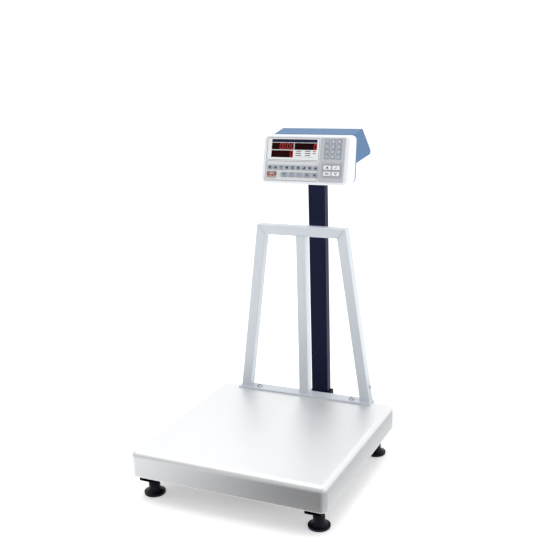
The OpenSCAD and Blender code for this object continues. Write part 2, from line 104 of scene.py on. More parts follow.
class Tree:
    """A node tree that is written as expressions."""

    def __init__(self, tree, shader):
        self.tree = tree
        self.shader = tree.nodes[shader]

    def node(self, kind, settings=None, inputs=None, output=0):
        """Adds a node of that type: first its settings, then the values or links of its sockets."""
        made = self.tree.nodes.new(kind)
        for name, value in (settings or {}).items():
            setattr(made, name, value)
        for name, value in (inputs or {}).items():
            if isinstance(value, Value):
                self.tree.links.new(value.socket, made.inputs[name])
            else:
                made.inputs[name].default_value = value
        return Value(self, made.outputs[output])

    def maths(self, operation, *values):
        return self.node("ShaderNodeMath", {"operation": operation}, dict(enumerate(values)))

    def mix(self, mask, low, high):
        """A colour that goes from low to high as the mask goes from 0 to 1."""
        return self.node(
            "ShaderNodeMix", {"data_type": "RGBA"}, {"Factor": mask, 6: low, 7: high}, output=2
        )

    def axes(self, vector):
        return [self.node("ShaderNodeSeparateXYZ", None, {0: vector}, axis) for axis in range(3)]

    def feed(self, socket, value):
        self.tree.links.new(value.socket, self.shader.inputs[socket])


class Finish(Tree):
    """One material, built round a Principled shader."""

    def __init__(self, name, **uniform):
        self.material = bpy.data.materials.new(name)
        self.material.use_nodes = True
        super().__init__(self.material.node_tree, "Principled BSDF")
        for socket, value in uniform.items():
            self.shader.inputs[socket.replace("_", " ")].default_value = value
        if "Base_Color" in uniform:
            self.material.diffuse_color = uniform["Base_Color"]

    def place(self):
        return self.node("ShaderNodeTexCoord", output=3)

    def stretched(self, scale):
        """The place on the object, multiplied along each axis."""
        return self.node("ShaderNodeVectorMath", {"operation": "MULTIPLY"}, {0: self.place(), 1: scale})

    def noise(self, scale, vector=None, detail=3.0):
        place = vector or self.place()
        return self.node("ShaderNodeTexNoise", None, {"Vector": place, "Scale": scale, "Detail": detail})

    def bump(self, height, strength, distance):
        inputs = {"Height": height, "Strength": strength, "Distance": distance}
        self.feed("Normal", self.node("ShaderNodeBump", None, inputs))


def opaque(colour, share=1.0):
    """A colour as four numbers, with its brightness multiplied by a share."""
    return tuple(channel * share for channel in colour[:3]) + (1.0,)


# ---------- finishes ----------


def coated(
    name, colour, roughness, grain, grain_depth, metallic=0.0, mottle=0.06, coat=0.0, shine=0.5, ior=1.5
):
    """Powder coat or moulded plastic: a fine orange-peel surface and slightly uneven colour."""
    finish = Finish(
        name,
        Base_Color=opaque(colour),
        Metallic=metallic,
        Coat_Weight=coat,
        Coat_Roughness=0.2,
        Specular_IOR_Level=shine,
        IOR=ior,
    )
    cloud = finish.noise(9.0)
    fine = finish.noise(grain, detail=2.0)
    finish.feed("Base Color", finish.mix(cloud, opaque(colour, 1 - mottle), opaque(colour, 1 + mottle)))
    finish.feed("Roughness", roughness + 0.10 * (cloud - 0.5) + 0.12 * (fine - 0.5))
    finish.bump(fine, 0.35, grain_depth)
    return finish.material


def brushed(name, colour, roughness, along, metallic=1.0):
    """Brushed sheet: hairlines run along one axis, with faint smears from cleaning."""
    finish = Finish(name, Base_Color=opaque(colour), Metallic=metallic)
    lines = finish.noise(1.0, finish.stretched(along), detail=2.0)
    smears = finish.noise(5.0)
    finish.feed("Base Color", finish.mix(lines, opaque(colour, 0.97), opaque(colour, 1.02)))
    finish.feed("Roughness", roughness + 0.08 * (lines - 0.5) + 0.10 * (smears - 0.5))
    finish.bump(lines, 0.12, 0.00002)
    return finish.material


def glowing(name, colour, strength):
    """A lit display segment, slightly uneven."""
    finish = Finish(name, Base_Color=opaque(colour, 0.6), Roughness=0.4, Emission_Strength=strength)
    spark = finish.noise(900.0, detail=1.0)
    finish.feed("Emission Color", finish.mix(spark, opaque(colour, 0.8), opaque(colour, 1.1)))
    return finish.material


def printed(name, colour, roughness=0.45, shine=0.5):
    """Ink on a polyester sheet, with the sheet's fine velvet texture."""
    finish = Finish(name, Base_Color=opaque(colour), Specular_IOR_Level=shine)
    velvet = finish.noise(2600.0, detail=1.0)
    finish.feed("Base Color", finish.mix(velvet, opaque(colour, 0.97), opaque(colour, 1.03)))
    finish.feed("Roughness", roughness + 0.10 * (velvet - 0.5))
    finish.bump(velvet, 0.15, 0.00001)
    return finish.material


def shaded_badge(name, top, foot, low, high):
    """Ink that fades upward from one colour to another between two heights."""
    finish = Finish(name, Roughness=0.4)
    height = (finish.axes(finish.place())[2] - low) / (high - low)
    finish.feed("Base Color", finish.mix(height, opaque(foot), opaque(top)))
    return finish.material


def window_glass(name, colour):
    """Dark red filter sheet: glossy, with a faint cloud so that it isn't dead black."""
    finish = Finish(name, Base_Color=opaque(colour), Roughness=0.12, Specular_IOR_Level=0.1, IOR=1.15)
    finish.feed("Base Color", finish.mix(finish.noise(40.0), opaque(colour, 0.7), opaque(colour, 1.3)))
    return finish.material


def etched_board(name, green, copper):
    """Circuit board: green resist over lighter tracks."""
    finish = Finish(name, Base_Color=opaque(green), Roughness=0.35)
    pitch, track_edge = 420.0, 0.55
    x, _, z = finish.axes(finish.stretched((pitch, pitch, pitch)))
    track = finish.maths("SINE", x) * finish.maths("SINE", z) > track_edge
    finish.feed("Base Color", finish.mix(track, opaque(green), opaque(copper)))
    return finish.material


# ---------- settings ----------


def colour_setting(name, description, default):
    return FloatVectorProperty(
        name=name, description=description, subtype="COLOR", size=3, min=0, max=1, default=default
    )


def length_setting(name, description, default):
    return FloatProperty(
        name=name, description=description, unit="LENGTH", min=0, precision=5, default=default
    )


class ScaleSizes(bpy.types.PropertyGroup):
    """Small sizes that the CAD model leaves open."""

    edge_round: length_setting("Edge round", "Rounding of cut steel edges", 0.0008)
    tube_round: length_setting("Tube round", "Corner radius of the guard's square tube", 0.0026)
    weld_bead: length_setting("Weld bead", "Radius of a weld bead", 0.0022)
    sheet: length_setting("Pan sheet", "Thickness of the pan's steel sheet", 0.0015)
    hem: length_setting("Pan hem", "Width of the hem turned in under the skirt", 0.008)
    pan_edge: length_setting("Pan edge", "Radius of the pan's pressed upper edge", 0.014)
    pan_corner: length_setting("Pan corner", "Radius of the pan's corners in plan", 0.016)
    ink: length_setting("Ink", "Thickness of a printed layer", 0.00005)
    arc_steps: IntProperty(name="Arc steps", description="Steps in a quarter circle", min=2, default=10)


class ScaleColours(bpy.types.PropertyGroup):
    """Colours of the finishes."""

    pan: colour_setting("Pan", "Satin stainless sheet", (0.86, 0.87, 0.88))
    guard: colour_setting("Guard", "Silver-grey powder coat", (0.64, 0.68, 0.73))
    frame: colour_setting("Frame", "Black powder coat", (0.006, 0.006, 0.010))
    column: colour_setting("Column", "Dark indigo powder coat", (0.011, 0.014, 0.042))
    plastic: colour_setting("Black plastic", "Feet, knob and connector", (0.003, 0.003, 0.010))
    zinc: colour_setting("Zinc", "Plated screws and nuts", (0.50, 0.51, 0.53))
    aluminium: colour_setting("Aluminium", "Load cell", (0.72, 0.73, 0.75))
    bezel: colour_setting("Bezel", "White front moulding", (0.82, 0.84, 0.88))
    housing: colour_setting("Housing", "Blue rear moulding", (0.016, 0.125, 0.30))
    overlay: colour_setting("Overlay", "Ground of the printed sheet", (0.80, 0.82, 0.83))
    panel: colour_setting("Panel", "Grey of the right-hand panel", (0.49, 0.51, 0.54))
    block: colour_setting("Block", "Darker grey behind the keys", (0.40, 0.42, 0.46))
    number_block: colour_setting("Number block", "Grey behind the number keys", (0.52, 0.54, 0.58))
    key: colour_setting("Keys", "Grey-blue keys", (0.36, 0.40, 0.46))
    white_key: colour_setting("White keys", "The four command keys", (0.82, 0.83, 0.85))
    # The ink colour also serves as the painted shade of the screws' cross recesses
    ink: colour_setting("Ink", "Dark marks", (0.012, 0.014, 0.022))
    lit: colour_setting("Lit segment", "Red display segments", (0.92, 0.06, 0.07))
    glass: colour_setting("Filter", "Dark red display filter", (0.014, 0.0025, 0.003))
    badge: colour_setting("Badge", "Plain red badge", (0.50, 0.03, 0.025))
    badge_foot: colour_setting("Badge band", "Orange band under the badge", (0.95, 0.55, 0.28))


def sizes():
    return bpy.context.scene.scale_sizes


def colours():
    return bpy.context.scene.scale_colours


def finish_named(name):
    """The finish of that name, made the first time that it is asked for."""
    if name not in bpy.data.materials:
        FINISHES[name](name, colours())
    return bpy.data.materials[name]


FINISHES = {
    "satin_steel": lambda n, c: brushed(n, c.pan, 0.47, (14.0, 900.0, 900.0), 0.95),
    "guard_coat": lambda n, c: coated(n, c.guard, 0.38, 420.0, 0.00006, 0.25, 0.03, 0.3),
    "black_coat": lambda n, c: coated(n, c.frame, 0.42, 500.0, 0.00005, shine=0.12, ior=1.2),
    "indigo_coat": lambda n, c: coated(n, c.column, 0.38, 480.0, 0.00005, 0.0, 0.12, 0.0, 0.14, 1.3),
    "moulded_black": lambda n, c: coated(n, c.plastic, 0.45, 700.0, 0.00004, shine=0.35, ior=1.35),
    "black_rubber": lambda n, c: coated(n, c.plastic, 0.75, 900.0, 0.00006, shine=0.1, ior=1.12),
    "zinc_plate": lambda n, c: brushed(n, c.zinc, 0.36, (300.0, 300.0, 40.0)),
    "anodised": lambda n, c: brushed(n, c.aluminium, 0.4, (200.0, 20.0, 200.0)),
    "white_moulding": lambda n, c: coated(n, c.bezel, 0.34, 1400.0, 0.00002, 0.0, 0.015, 0.25),
    "blue_moulding": lambda n, c: coated(n, c.housing, 0.26, 1200.0, 0.00001, 0.0, 0.04, 0.0, 0.3, 1.4),
    "overlay_sheet": lambda n, c: printed(n, c.overlay),
    "panel_ink": lambda n, c: printed(n, c.panel),
    "block_ink": lambda n, c: printed(n, c.block),
    "number_block": lambda n, c: printed(n, c.number_block),
    "function_ink": lambda n, c: printed(n, opaque(c.overlay, 0.88)),
    "outline_ink": lambda n, c: printed(n, (0.055, 0.06, 0.07)),
    "badge_red": lambda n, c: printed(n, c.badge, 0.35),
    "grey_keys": lambda n, c: printed(n, c.key),
    "white_keys": lambda n, c: printed(n, c.white_key),
    # Dark ink of the key signs, also used as the painted shade of the screws' cross recesses
    "dark_ink_and_recess_shade": lambda n, c: printed(n, c.ink),
    "bar_ink": lambda n, c: printed(n, (0.006, 0.007, 0.035), 0.15, 0.3),
    "red_ink": lambda n, c: printed(n, (0.45, 0.02, 0.02)),
    "white_ink": lambda n, c: printed(n, (0.85, 0.86, 0.88)),
    "lit_segment": lambda n, c: glowing(n, c.lit, 0.42),
    "unlit_segment": lambda n, c: printed(n, (0.022, 0.004, 0.004), 0.3, 0.12),
    "filter_glass": lambda n, c: window_glass(n, c.glass),
    "circuit_board": lambda n, c: etched_board(n, (0.02, 0.11, 0.05), (0.05, 0.22, 0.09)),
}


# ---------- places taken from the frame ----------


def far_point(node, direction):
    """The point of a CAD node that lies furthest along a direction."""
    return max((v.co for v in frame["nodes"][node].data.vertices), key=lambda p: p.dot(direction)).copy()


def joint(name):
    return next(j for j in frame["joints"] if j["name"] == name)


def middle(node):
    low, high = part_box(node)
    return (low + high) / 2


def upright_frame(inward, origin):
    """A frame whose X is the scale's X, whose Y points inward and whose Z runs up the surface."""
    up = Vector((1, 0, 0)).cross(inward)
    turn = Matrix((Vector((1, 0, 0)), inward, up)).transposed()
    return Matrix.Translation(origin) @ turn.to_4x4()


INWARD = Vector(joint("function_key_1_press")["axis"]).normalized()
OVERLAY_T = 0.001
FACE = upright_frame(INWARD, middle("keypad_overlay") - INWARD * OVERLAY_T / 2)
KEYS = [name for name in frame["nodes"] if "_key_" in name]


def on_face(point):
    """A point of the scale in the overlay's own frame."""
    return FACE.inverted() @ point


def node_on_face(node):
    """The lowest and highest corners of a CAD node in the overlay's own frame."""
    points = np.array([on_face(v.co) for v in frame["nodes"][node].data.vertices])
    return Vector(points.min(0)), Vector(points.max(0))


def node_edge(node):
    """[x0, z0, x1, z1] of a CAD node on the overlay."""
    low, high = node_on_face(node)
    return (low.x, low.z, high.x, high.z)


def grown(edge, pad):
    return (edge[0] - pad, edge[1] - pad, edge[2] + pad, edge[3] + pad)


# ---------- mesh helpers ----------


def placed(name, data):
    """An object that holds the data, linked to the scene."""
    thing = bpy.data.objects.new(name, data)
    bpy.context.scene.collection.objects.link(thing)
    return thing


def new_piece(name, mesh, finish, body, replaces=()):
    """Links a mesh as a piece that rides on a CAD body."""
    piece = placed(name, mesh)
    if not mesh.materials:
        mesh.materials.append(finish_named(finish))
    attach(piece, body)
    if replaces:
        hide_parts(*replaces)
    return piece


def mesh_from(name, bm, smooth_angle=32):
    """Turns a bmesh into a mesh, smooth except at edges sharper than the angle."""
    bmesh.ops.recalc_face_normals(bm, faces=bm.faces[:])
    mesh = bpy.data.meshes.new(name)
    bm.to_mesh(mesh)
    bm.free()
    mesh.shade_smooth()
    mesh.set_sharp_from_angle(angle=math.radians(smooth_angle))
    return mesh


def panel_piece(name, bm, finish):
    """Makes a piece of the indicator's face."""
    return new_piece(name, mesh_from(name, bm), finish, "indicator")


def add_loft(bm, rings, closed=False):
    """Joins rings of equal length with quads. An open loft gets a face over each end."""
    rows = [[bm.verts.new(p) for p in ring] for ring in rings]
    pairs = list(zip(rows, rows[1:] + rows[:1])) if closed else list(zip(rows, rows[1:]))
    count = len(rings[0])
    for low, high in pairs:
        for i in range(count):
            j = (i + 1) % count
            bm.faces.new((low[i], low[j], high[j], high[i]))
    if not closed:
        bm.faces.new(rows[0][::-1])
        bm.faces.new(rows[-1])


def round_rect(width, height, radius, steps):
    """Points of a rectangle with round corners, centred, anticlockwise."""
    radius = max(radius, 1e-5)
    points = []
    for quarter, (sx, sy) in enumerate(((1, 1), (-1, 1), (-1, -1), (1, -1))):
        centre = (sx * (width / 2 - radius), sy * (height / 2 - radius))
        for i in range(steps + 1):
            turn = math.pi / 2 * (quarter + i / steps)
            points.append((centre[0] + radius * math.cos(turn), centre[1] + radius * math.sin(turn)))
    return points


def arc(steps):
    """Angles of a quarter turn."""
    return [math.pi / 2 * i / steps for i in range(steps + 1)]


def circle(radius, steps, x=0.0, z=0.0):
    turns = [2 * math.pi * i / steps for i in range(steps)]
    return [(x + radius * math.cos(a), z + radius * math.sin(a)) for a in turns]


def plate(bm, matrix, outline, front, back):
    """Adds a flat plate whose outline lies in X and Z, between two depths along Y."""
    rings = [[matrix @ Vector((x, y, z)) for x, z in outline] for y in (front, back)]
    add_loft(bm, rings)


def ring_plate(bm, matrix, outer, inner, front, back):
    """Adds a flat ring between two outlines with the same number of points."""
    corners = ((outer, front), (inner, front), (inner, back), (outer, back))
    rings = [[matrix @ Vector((x, y, z)) for x, z in outline] for outline, y in corners]
    add_loft(bm, rings, closed=True)


def shifted(outline, x, z):
    return [(px + x, pz + z) for px, pz in outline]


def bar(x0, z0, x1, z1):
    return [(x0, z0), (x1, z0), (x1, z1), (x0, z1)]


def round_bar(edge, radius, steps):
    """A rectangle [x0, z0, x1, z1] with round corners."""
    x0, z0, x1, z1 = edge
    return shifted(round_rect(x1 - x0, z1 - z0, radius, steps), (x0 + x1) / 2, (z0 + z1) / 2)


def cut(mesh, cutters):
    """The mesh with the cutters' closed solids taken away."""
    target = placed("cut_target", mesh)
    cutter_mesh = mesh_from("cutters", cutters)
    cutter = placed("cutters", cutter_mesh)
    boolean = target.modifiers.new("Cut", "BOOLEAN")
    boolean.operation = "DIFFERENCE"
    boolean.solver = "EXACT"
    boolean.use_self = True
    boolean.object = cutter
    bpy.context.view_layer.update()
    shaped = target.evaluated_get(bpy.context.evaluated_depsgraph_get())
    result = bpy.data.meshes.new_from_object(shaped)
    for thing in (target, cutter):
        bpy.data.objects.remove(thing)
    bpy.data.meshes.remove(cutter_mesh)
    return result


def tidy_shading(piece, smooth_angle=32):
    piece.data.shade_smooth()
    piece.data.set_sharp_from_angle(angle=math.radians(smooth_angle))
    weighted = piece.modifiers.new("Even normals", "WEIGHTED_NORMAL")
    weighted.keep_sharp = True


def soften(node, finish, radius, steps=2):
    """Keeps a CAD node as it is, with its edges rounded and a real finish."""
    thing = frame["nodes"][node]
    thing.data.materials.clear()
    thing.data.materials.append(finish_named(finish))
    if radius > 0:
        thing.modifiers.new("Join", "WELD").merge_threshold = 1e-6
        flat = thing.modifiers.new("Merge flats", "DECIMATE")
        flat.decimate_type = "DISSOLVE"
        flat.angle_limit = math.radians(0.5)
        rounding = thing.modifiers.new("Round edges", "BEVEL")
        rounding.width = radius
        rounding.segments = steps
        rounding.limit_method = "ANGLE"
        rounding.angle_limit = math.radians(40)
        rounding.use_clamp_overlap = True
        weighted = thing.modifiers.new("Even normals", "WEIGHTED_NORMAL")
        weighted.keep_sharp = False


def weld_bead(bm, points, radius):
    """Adds a rippled weld bead, thinner towards its ends, from one point to another."""
    sides = 8
    start, end = (Vector(point) for point in points)
    length = (end - start).length
    along = (end - start).normalized()
    side = along.orthogonal().normalized()
    up = along.cross(side)
    count = max(int(length / (radius * 0.35)), 6)
    rings = []
    for i in range(count + 1):
        t = i / count
        ripple = 0.86 + 0.14 * abs(math.sin(i * 1.1))
        taper = min(1.0, 0.35 + 4 * min(t, 1 - t) * length / (4 * radius))
        r = radius * ripple * taper
        centre = start + (end - start) * t
        rings.append([centre + side * x + up * z for x, z in circle(r, sides)])
    add_loft(bm, rings)


def lathe(bm, matrix, profile, steps):
    """Turns a profile of [radius, height] points round Z."""
    add_loft(bm, [[matrix @ Vector((x, y, height)) for x, y in circle(r, steps)] for r, height in profile])


# ---------- operators: platform and guard ----------


class SCALE_OT_pan(bpy.types.Operator):
    """Presses the pan: one sheet with round edges, a skirt and a hem turned in"""

    bl_idname = "scale.pan"
    bl_label = "Platform pan"

    def execute(self, context):
        s = sizes()
        low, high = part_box("platform_pan")
        width, depth = high.x - low.x, high.y - low.y
        centre = (low + high) / 2
        profile = self.sheet_profile(s, low.z, high.z)
        rings = []
        for inset, z in profile:
            outline = round_rect(width - 2 * inset, depth - 2 * inset, s.pan_corner - inset, s.arc_steps)
            rings.append([Vector((centre.x + x, centre.y + y, z)) for x, y in outline])
        bm = bmesh.new()
        add_loft(bm, rings)
        bmesh.ops.remove_doubles(bm, verts=bm.verts[:], dist=2e-6)
        mesh = mesh_from("pressed_pan", bm, 40)
        piece = new_piece("pressed_pan", mesh, "satin_steel", "platform", ["platform_pan"])
        piece.modifiers.new("Even normals", "WEIGHTED_NORMAL").keep_sharp = True
        return {"FINISHED"}

    def sheet_profile(self, s, foot, top):
        """[inset, height] from the middle of the top over the edge, round the hem and back inside."""
        r, t = s.pan_edge, s.sheet
        turns = arc(s.arc_steps)
        fold, flat = t * 1.6, r * 4
        outside = [(flat, top)] + [(r - r * math.sin(a), top - r + r * math.cos(a)) for a in turns]
        hem = [(fold - fold * math.cos(a), foot + fold - fold * math.sin(a)) for a in turns]
        lip = [(s.hem, foot), (s.hem, foot + t), (fold, foot + t)]
        inner = r - t
        inside = [(t, foot + fold)]
        inside += [(r - inner * math.sin(a), top - r + inner * math.cos(a)) for a in reversed(turns)]
        inside += [(flat, top - t)]
        return outside + hem + lip + inside


class SCALE_OT_guard(bpy.types.Operator):
    """Finishes the guard's tubes and foot rail and runs the welds that join them"""

    bl_idname = "scale.guard"
    bl_label = "Back guard"

    def execute(self, context):
        s = sizes()
        for node in ("guard_left_leg", "guard_right_leg", "guard_centre_bar", "guard_top_bar"):
            soften(node, "guard_coat", s.tube_round, 3)
        soften("guard_rail", "guard_coat", s.edge_round)
        bm = bmesh.new()
        for run in self.weld_runs():
            weld_bead(bm, run, s.weld_bead)
        new_piece("guard_welds", mesh_from("guard_welds", bm), "guard_coat", "platform")
        return {"FINISHED"}

    def weld_runs(self):
        """The seams at the legs' feet, the centre bar's ends and the mitres at the top."""
        bar_low, bar_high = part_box("guard_centre_bar")
        foot = bar_low.z
        runs = []
        for side, leg in ((-1, "guard_left_leg"), (1, "guard_right_leg")):
            outer = far_point(leg, Vector((side, 0, -1)))
            inner = far_point(leg, Vector((-side * 0.2, 0, -1)))
            for y in (bar_low.y, bar_high.y):
                runs.append([(inner.x, y, foot), (outer.x, y, foot)])
            for x in (inner.x, outer.x):
                runs.append([(x, bar_low.y, foot), (x, bar_high.y, foot)])
            top_out = far_point("guard_top_bar", Vector((side, 0, 1)))
            top_in = far_point("guard_top_bar", Vector((side, 0, -4)))
            for y in (bar_low.y, bar_high.y):
                runs.append([(top_in.x, y, top_in.z), (top_out.x, y, top_out.z - 0.001)])
        for z in (foot, bar_high.z):
            for y in (bar_low.y, bar_high.y):
                runs.append([(bar_low.x, y, z), (bar_high.x, y, z)])
            for x in (bar_low.x, bar_high.x):
                runs.append([(x, bar_low.y, z), (x, bar_high.y, z)])
        return runs


class SCALE_OT_fasteners(bpy.types.Operator):
    """Finishes the bolts and nuts and lays a thin dark cross on each dome-head screw as the painted shade of
    its cross recess
    """

    bl_idname = "scale.fasteners"
    bl_label = "Fasteners"

    def execute(self, context):
        edge = sizes().edge_round
        for node in ("column_bolts", "load_cell_bolts"):
            soften(node, "zinc_plate", edge / 2)
        soften("foot_lock_nuts", "moulded_black", edge / 2)
        for node in ("guard_screws", "housing_screws"):
            soften(node, "zinc_plate", 0)
        # No recess is cut: a thin dark cross stands on each screw head as painted shade where the recess
        # would be
        bm = bmesh.new()
        head_r, head_h, first_turn = 0.0075, 0.0042, 0.4
        arm = round_rect(0.0075, 0.0015, 0.0006, 3)
        arm_h = 0.00087
        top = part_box("guard_rail")[1].z + head_h
        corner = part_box("guard_screws")[0]
        for x in (corner.x + head_r, -corner.x - head_r):
            for turn in (first_turn, first_turn + math.pi / 2):
                matrix = Matrix.Translation((x, corner.y + head_r, top)) @ Matrix.Rotation(turn, 4, "Z")
                add_loft(bm, [[matrix @ Vector((px, py, z)) for px, py in arm] for z in (0.0, arm_h)])
        new_piece("screw_recess_shade", mesh_from("screw_recess_shade", bm), "dark_ink_and_recess_shade", "platform")
        return {"FINISHED"}


class SCALE_OT_base(bpy.types.Operator):
    """Finishes the base frame, the load cell, the inner frame and the column"""

    bl_idname = "scale.base"
    bl_label = "Base and column"

    def execute(self, context):
        edge = sizes().edge_round
        soften("base_frame", "black_coat", edge)
        soften("platform_frame", "black_coat", edge)
        soften("platform_pads", "black_rubber", edge)
        soften("load_cell", "anodised", edge / 2)
        soften("column_bracket", "black_coat", edge)
        soften("column", "indigo_coat", edge / 2)
        clearance, cheek_t, half_seam = 0.0003, 0.005, 0.020
        column_low, column_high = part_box("column")
        cheek = column_high.x + clearance + cheek_t
        plate_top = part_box("base_frame")[0].z
        centre = (column_low.y + column_high.y) / 2
        bm = bmesh.new()
        for x in (-cheek, cheek):
            seam = [(x, centre + side * half_seam, plate_top) for side in (-1, 1)]
            weld_bead(bm, seam, sizes().weld_bead)
        new_piece("bracket_welds", mesh_from("bracket_welds", bm), "black_coat", "base")
        return {"FINISHED"}


class SCALE_OT_feet(bpy.types.Operator):
    """Turns the four levelling feet, each with a flared skirt, a neck and a threaded stud"""

    bl_idname = "scale.feet"
    bl_label = "Levelling feet"

    def execute(self, context):
        for node in [n for n in frame["nodes"] if n.startswith("foot_") and n != "foot_lock_nuts"]:
            low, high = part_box(node)
            centre = (low + high) / 2
            bm = bmesh.new()
            matrix = Matrix.Translation((centre.x, centre.y, low.z))
            lathe(bm, matrix, self.profile(high.x - centre.x, high.z - low.z), 64)
            name = node.replace("foot_", "levelling_foot_")
            new_piece(name, mesh_from(name, bm, 50), "moulded_black", node, [node])
        return {"FINISHED"}

    def profile(self, radius, height):
        """[radius, height] points: a rounded sole, a concave skirt, a neck and a threaded stud."""
        neck, neck_top, stud, chamfer = 0.0135, 0.0355, 0.006, 0.001
        axis, sole, rim, skirt_foot, skirt_h = 0.0001, 0.003, 0.006, 0.007, 0.014
        bead = neck + 0.0007
        pitch, thread = 0.00175, 0.0009
        points = [(axis, 0), (radius - sole, 0)]
        points += [(radius - sole + sole * math.sin(a), sole - sole * math.cos(a)) for a in arc(6)]
        points += [(radius, rim)]
        for a in arc(12):
            flare = (radius - neck) * (1 - math.sin(a))
            points.append((neck + flare, skirt_foot + skirt_h * (1 - math.cos(a))))
        points += [(neck, 0.0235), (bead, 0.0242), (bead, 0.0262), (neck, 0.0269)]
        points += [(neck, neck_top - chamfer), (neck - chamfer, neck_top), (stud, neck_top)]
        for i in range(int((height - neck_top) / pitch) - 1):
            z = neck_top + i * pitch
            points += [(stud - thread, z + pitch * 0.25), (stud, z + pitch * 0.75)]
        return points + [(stud - chamfer, height), (axis, height)]


# ---------- operators: indicator ----------


class SCALE_OT_housing(bpy.types.Operator):
    """Moulds the white front bezel and finishes the blue rear housing and its fittings"""

    bl_idname = "scale.housing"
    bl_label = "Indicator mouldings"

    def execute(self, context):
        new_piece("bezel_moulding", self.bezel(), "white_moulding", "indicator", ["front_bezel"])
        tidy_shading(bpy.data.objects["bezel_moulding"])
        soften("rear_housing", "blue_moulding", 0.0022, 3)
        soften("head_bracket", "black_coat", 0.0006)
        soften("tilt_knob", "moulded_black", 0.0012, 3)
        soften("power_socket", "moulded_black", 0.0003)
        soften("power_switch", "moulded_black", 0.0004)
        soften("circuit_board", "circuit_board", 0)
        soften("display_filter", "filter_glass", 0)
        return {"FINISHED"}

    def bezel(self):
        """A loft from the round front edge to the slanting back, with the face's recesses cut out."""
        steps = sizes().arc_steps
        low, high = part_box("front_bezel")
        width = high.x - low.x
        back_top = far_point("front_bezel", Vector((0, 1, 1)))
        back_foot = far_point("front_bezel", Vector((0, 1, -1)))
        height = self.face_height()
        slope = (back_top - back_foot) * Vector((0, 1, 1))
        centre = (back_top + back_foot) / 2
        back = upright_frame(self.turned(slope), Vector((0, centre.y, centre.z)))
        proud, edge_w, edge_d, corner = 0.0002, 0.005, 0.006, 0.013
        face = FACE @ Matrix.Translation((0, -proud, 0))
        rings = []
        for a in arc(8):
            inset = edge_w * (1 - math.sin(a))
            outline = round_rect(width - 2 * inset, height - 2 * inset, corner - inset * 0.8, steps)
            rings.append([face @ Vector((x, edge_d * (1 - math.cos(a)), z)) for x, z in outline])
        outline = round_rect(width, slope.length, corner, steps)
        rings.append([back @ Vector((x, 0, z)) for x, z in outline])
        bm = bmesh.new()
        add_loft(bm, rings)
        solid = mesh_from("bezel_moulding", bm)
        wall, front_wall, past_back, spare = 0.003, 0.0045, 0.001, 0.0003
        inner_w = width - 2 * wall
        cutters = bmesh.new()
        hollow = ((face, front_wall, height - 2 * wall), (back, past_back, slope.length - 2 * wall))
        add_loft(
            cutters,
            [[m @ Vector((x, y, z)) for x, z in round_rect(inner_w, h, 0.010, steps)] for m, y, h in hollow],
        )
        solid = cut(solid, cutters)
        cutters = bmesh.new()
        sheet_low, sheet_high = node_on_face("keypad_overlay")
        sheet_w, sheet_h = sheet_high.x - sheet_low.x + 2 * spare, sheet_high.z - sheet_low.z + 2 * spare
        plate(cutters, FACE, round_rect(sheet_w, sheet_h, 0.003, 6), -0.002, OVERLAY_T)
        solid = cut(solid, cutters)
        cutters = bmesh.new()
        hole_front, pane_back, key_back = 0.0005, 0.006, 0.003
        plate(cutters, FACE, bar(*node_edge("display_filter")), hole_front, pane_back)
        for key in KEYS:
            plate(cutters, FACE, bar(*grown(node_edge(key), spare)), hole_front, key_back)
        return cut(solid, cutters)

    def face_height(self):
        """Height of the face, whose front edge lies near the overlay's plane."""
        near = 0.007
        points = [on_face(v.co) for v in frame["nodes"]["front_bezel"].data.vertices]
        return 2 * max(p.z for p in points if p.y < near)

    def turned(self, slope):
        """The direction that points backward, square to a slope in the Y-Z plane."""
        slope = slope.normalized()
        return Vector((0, slope.z, -slope.y))


